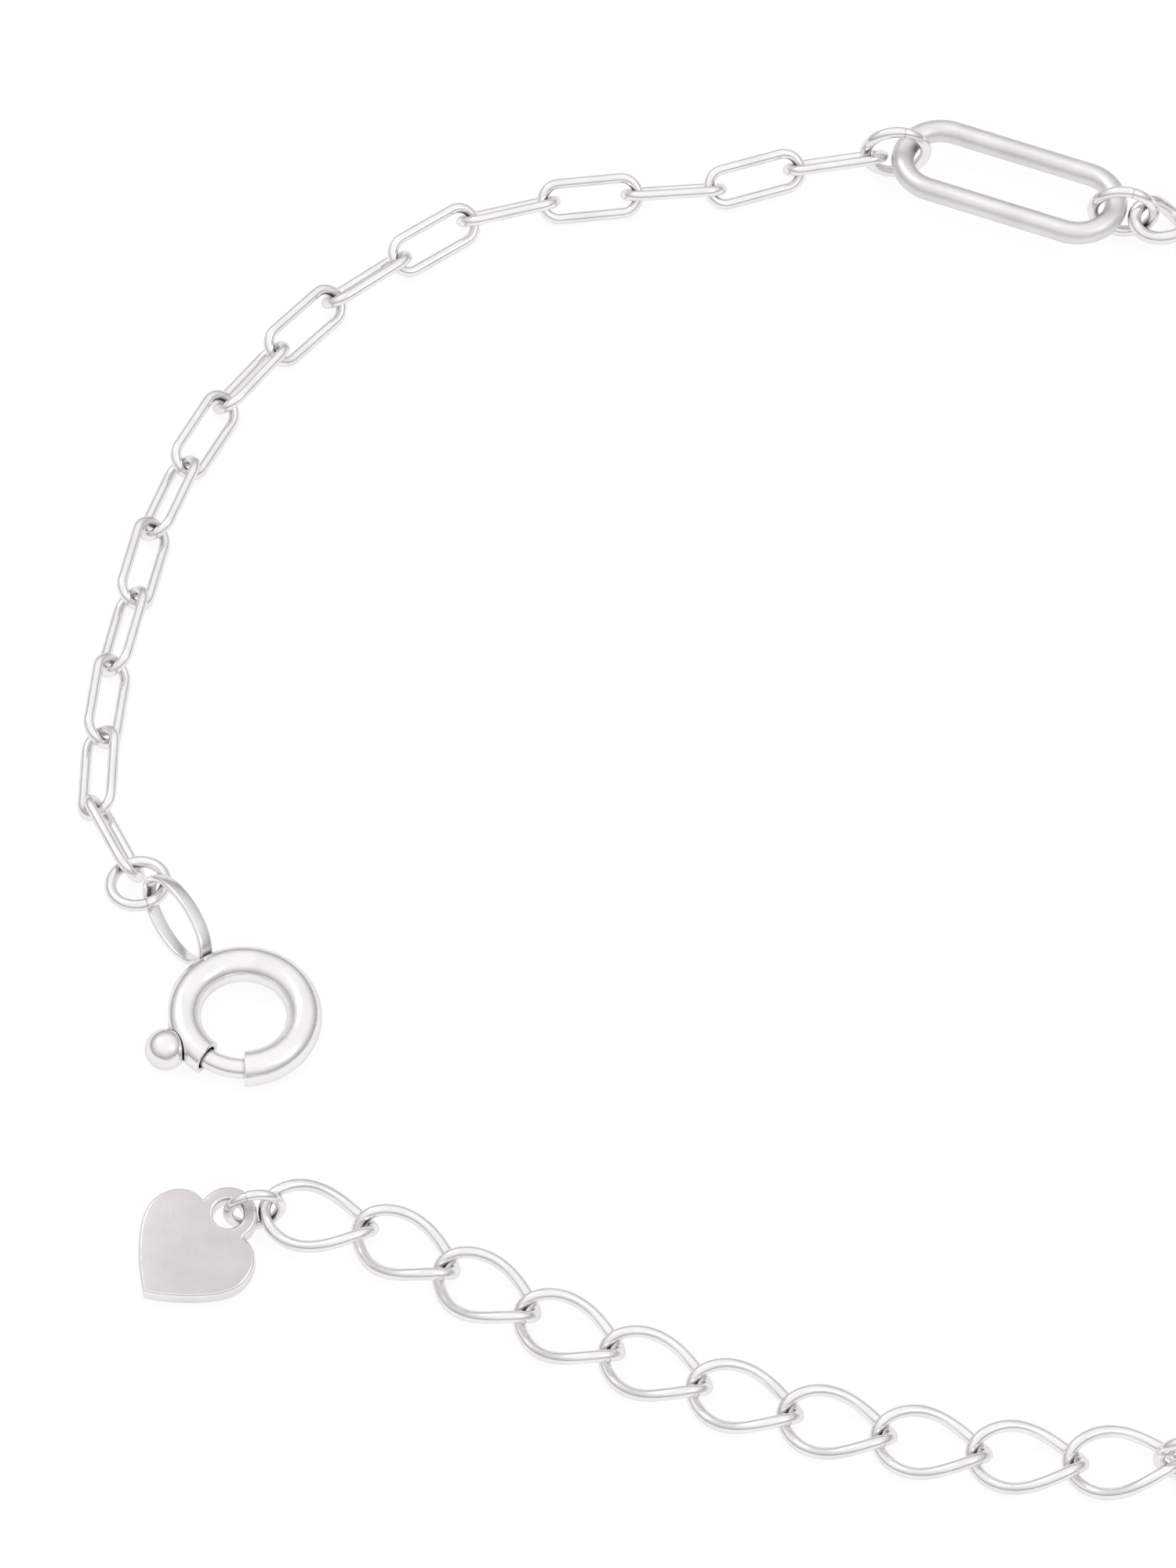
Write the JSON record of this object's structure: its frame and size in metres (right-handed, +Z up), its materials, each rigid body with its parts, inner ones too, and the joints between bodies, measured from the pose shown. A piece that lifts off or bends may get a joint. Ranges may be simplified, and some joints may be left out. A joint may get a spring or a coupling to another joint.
{
  "type": "bracelet",
  "caption": "Fine mixed-chain bracelet lying open, with a spring-ring clasp, one long oval link, an extender chain and a flat heart tag.",
  "frame": {"origin": "middle of the bracelet's box, on the surface that it lies on", "axes": "+Z up; +X from the clasp across the loop to the hidden side; +Y from the extender to the long link"},
  "size_m": [0.0726, 0.0654, 0.0029],
  "materials": {
    "polished_silver": "polished",
    "satin_silver": "satin"
  },
  "bodies": {
    "bracelet": {"clasp_case": "polished_silver", "clasp_ring": "polished_silver", "paperclip_link_01": "polished_silver", "paperclip_link_02": "polished_silver", "paperclip_link_03": "polished_silver", "paperclip_link_04": "polished_silver", "paperclip_link_05": "polished_silver", "paperclip_link_06": "polished_silver", "paperclip_link_07": "polished_silver", "paperclip_link_08": "polished_silver", "paperclip_link_09": "polished_silver", "paperclip_link_10": "polished_silver", "paperclip_link_11": "polished_silver", "paperclip_link_12": "polished_silver", "paperclip_link_13": "polished_silver", "paperclip_link_14": "polished_silver", "paperclip_link_15": "polished_silver", "paperclip_link_16": "polished_silver", "station_ring_left": "polished_silver", "long_link": "polished_silver", "station_ring_right": "polished_silver", "curb_chain_01": "polished_silver", "curb_chain_02": "polished_silver", "extender_ring": "polished_silver", "extender_link_01": "polished_silver", "extender_link_02": "polished_silver", "extender_link_03": "polished_silver", "extender_link_04": "polished_silver", "extender_link_05": "polished_silver", "extender_link_06": "polished_silver", "extender_link_07": "polished_silver", "extender_link_08": "polished_silver", "extender_link_09": "polished_silver", "extender_link_10": "polished_silver", "tag_ring": "polished_silver", "heart_tag": "satin_silver"},
    "bolt": {"clasp_bolt": "polished_silver"}
  },
  "joints": [
    {"name": "bolt_slide", "type": "hinge", "parent": "bracelet", "child": "bolt", "pos_m": [-0.02951, -0.01131, 0.00084], "axis": [-0.036, 0.0577, -0.9977], "range_deg": [0, 42], "stiffness_Nm_per_rad": 0.0005, "springref_deg": -11.46}
  ]
}
